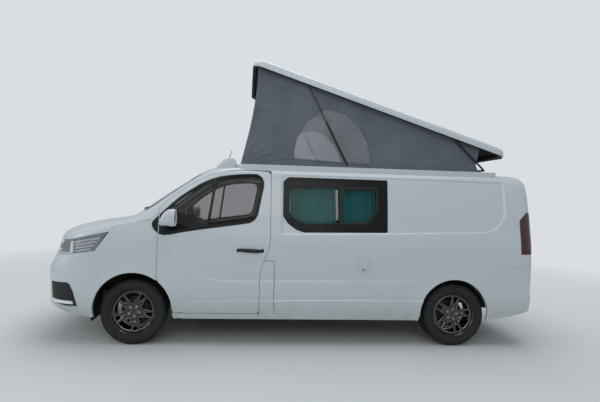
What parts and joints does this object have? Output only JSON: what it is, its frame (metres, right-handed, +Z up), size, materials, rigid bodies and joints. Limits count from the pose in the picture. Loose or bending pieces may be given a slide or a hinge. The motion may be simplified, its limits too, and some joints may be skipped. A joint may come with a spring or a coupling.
{
  "type": "camper van with pop-up roof",
  "caption": "Mid-size panel van with four wheels, opening doors, bonnet and tailgate, and a tented roof that lifts at the front.",
  "frame": {"origin": "on the ground under the middle of the van", "axes": "-X is forward, -Y is the van's left side, +Z is up"},
  "size_m": [5.48, 2.28, 3.1585],
  "materials": {
    "paint": "glossy white car paint",
    "black_plastic": "grained black plastic",
    "glass": "tinted window glass",
    "lamp": "clear lamp cover over bright reflectors",
    "red_lamp": "dark red lamp cover",
    "tyre": "all-terrain tyre rubber",
    "alloy": "black alloy with machined spoke edges",
    "steel": "coated steel",
    "cast_iron": "cast metal",
    "seat_cloth": "woven seat cloth",
    "tent_cloth": "coated tent canvas",
    "curtain_cloth": "gathered curtain cloth",
    "board": "laminated board",
    "aluminium": "satin aluminium profile"
  },
  "bodies": {
    "root": {"bench": "seat_cloth", "cab_frame": "paint", "curtain": "curtain_cloth", "dashboard": "black_plastic", "engine": "cast_iron", "exhaust": "steel", "floor": "board", "front_bumper": "paint", "front_subframe": "steel", "fuel_tank": "black_plastic", "grille": "black_plastic", "headlamp_left": "lamp", "headlamp_right": "lamp", "kitchen": "board", "rear_axle": "cast_iron", "rear_bumper": "paint", "rear_frame": "paint", "roof": "paint", "roof_fairing": "paint", "roof_frame": "aluminium", "seat_left": "seat_cloth", "seat_right": "seat_cloth", "side_left": "paint", "side_right": "paint", "side_window": "glass", "sliding_door": "paint", "sliding_door_glass": "glass", "steering_wheel": "black_plastic", "tail_lamp_left": "red_lamp", "tail_lamp_right": "red_lamp", "tent": "tent_cloth", "windscreen": "glass", "wing_left": "paint", "wing_right": "paint"},
    "door_left": {"door_left": "paint", "door_glass_left": "glass", "mirror_left": "paint"},
    "door_right": {"door_right": "paint", "door_glass_right": "glass", "mirror_right": "paint"},
    "bonnet": {"bonnet": "paint"},
    "tailgate": {"tailgate": "paint", "tailgate_glass": "glass"},
    "knuckle_left": {"knuckle_left": "cast_iron"},
    "knuckle_right": {"knuckle_right": "cast_iron"},
    "wheel_front_left": {"tyre_front_left": "tyre", "rim_front_left": "alloy"},
    "wheel_front_right": {"tyre_front_right": "tyre", "rim_front_right": "alloy"},
    "wheel_rear_left": {"tyre_rear_left": "tyre", "rim_rear_left": "alloy"},
    "wheel_rear_right": {"tyre_rear_right": "tyre", "rim_rear_right": "alloy"},
    "pop_top": {"pop_top": "paint"},
    "rear_lever": {"rear_lever": "steel"},
    "stay_cylinder_left": {"stay_cylinder_left": "black_plastic"},
    "stay_cylinder_right": {"stay_cylinder_right": "black_plastic"},
    "stay_rod_left": {"stay_rod_left": "steel"},
    "stay_rod_right": {"stay_rod_right": "steel"}
  },
  "joints": [
    {"name": "steer_left", "type": "hinge", "parent": "root", "child": "knuckle_left", "pos_m": [-1.726, -0.7, 0.205], "axis": [0, 0.129, 0.9916], "range_deg": [-35, 35]},
    {"name": "steer_right", "type": "hinge", "parent": "root", "child": "knuckle_right", "pos_m": [-1.726, 0.7, 0.205], "axis": [0, -0.129, 0.9916], "range_deg": [-35, 35]},
    {"name": "roll_front_left", "type": "hinge", "parent": "knuckle_left", "child": "wheel_front_left", "pos_m": [-1.726, -0.8075, 0.343], "axis": [0, 1, 0], "continuous": true},
    {"name": "roll_front_right", "type": "hinge", "parent": "knuckle_right", "child": "wheel_front_right", "pos_m": [-1.726, 0.8075, 0.343], "axis": [0, 1, 0], "continuous": true},
    {"name": "roll_rear_left", "type": "hinge", "parent": "root", "child": "wheel_rear_left", "pos_m": [1.772, -0.814, 0.343], "axis": [0, 1, 0], "continuous": true},
    {"name": "roll_rear_right", "type": "hinge", "parent": "root", "child": "wheel_rear_right", "pos_m": [1.772, 0.814, 0.343], "axis": [0, 1, 0], "continuous": true},
    {"name": "door_left_hinge", "type": "hinge", "parent": "root", "child": "door_left", "pos_m": [-1.4796, -0.985, 0.9], "axis": [0, -0.0698, -0.9976], "range_deg": [0, 70]},
    {"name": "door_right_hinge", "type": "hinge", "parent": "root", "child": "door_right", "pos_m": [-1.4796, 0.985, 0.9], "axis": [0, -0.0698, 0.9976], "range_deg": [0, 70]},
    {"name": "bonnet_hinge", "type": "hinge", "parent": "root", "child": "bonnet", "pos_m": [-1.8687, 0, 1.362], "axis": [0, 1, 0], "range_deg": [0, 50]},
    {"name": "tailgate_hinge", "type": "hinge", "parent": "root", "child": "tailgate", "pos_m": [2.7304, 0, 1.8774], "axis": [0, -1, 0], "range_deg": [0, 85]},
    {"name": "roof_tilt", "type": "hinge", "parent": "root", "child": "pop_top", "pos_m": [3.00089, 0, 2.04446], "axis": [0, -1, 0], "range_deg": [0, 17.5], "deforming": ["tent"]},
    {"name": "stay_left_swing", "type": "hinge", "parent": "root", "child": "stay_cylinder_left", "pos_m": [0.576, -0.722, 1.985], "axis": [0, -1, 0], "range_deg": [0, 61.25]},
    {"name": "stay_right_swing", "type": "hinge", "parent": "root", "child": "stay_cylinder_right", "pos_m": [0.576, 0.722, 1.985], "axis": [0, -1, 0], "range_deg": [0, 61.25]},
    {"name": "stay_left_slide", "type": "slide", "parent": "stay_cylinder_left", "child": "stay_rod_left", "axis": [-0.4675, 0, 0.884], "range_m": [-0.433, 0]},
    {"name": "stay_right_slide", "type": "slide", "parent": "stay_cylinder_right", "child": "stay_rod_right", "axis": [-0.4675, 0, 0.884], "range_m": [-0.433, 0]},
    {"name": "lever_swing", "type": "hinge", "parent": "root", "child": "rear_lever", "pos_m": [2.2, 0, 1.985], "axis": [0, -1, 0], "range_deg": [0, 43.7]}
  ],
  "couplings": [
    {"joint": "steer_right", "follows": "steer_left", "ratio": 1},
    {"joint": "stay_left_swing", "follows": "roof_tilt", "ratio": 3.4969},
    {"joint": "stay_right_swing", "follows": "roof_tilt", "ratio": 3.4969},
    {"joint": "stay_left_slide", "follows": "roof_tilt", "m_per_rad": -1.4152},
    {"joint": "stay_right_slide", "follows": "roof_tilt", "m_per_rad": -1.4152},
    {"joint": "lever_swing", "follows": "roof_tilt", "ratio": 2.4946}
  ]
}
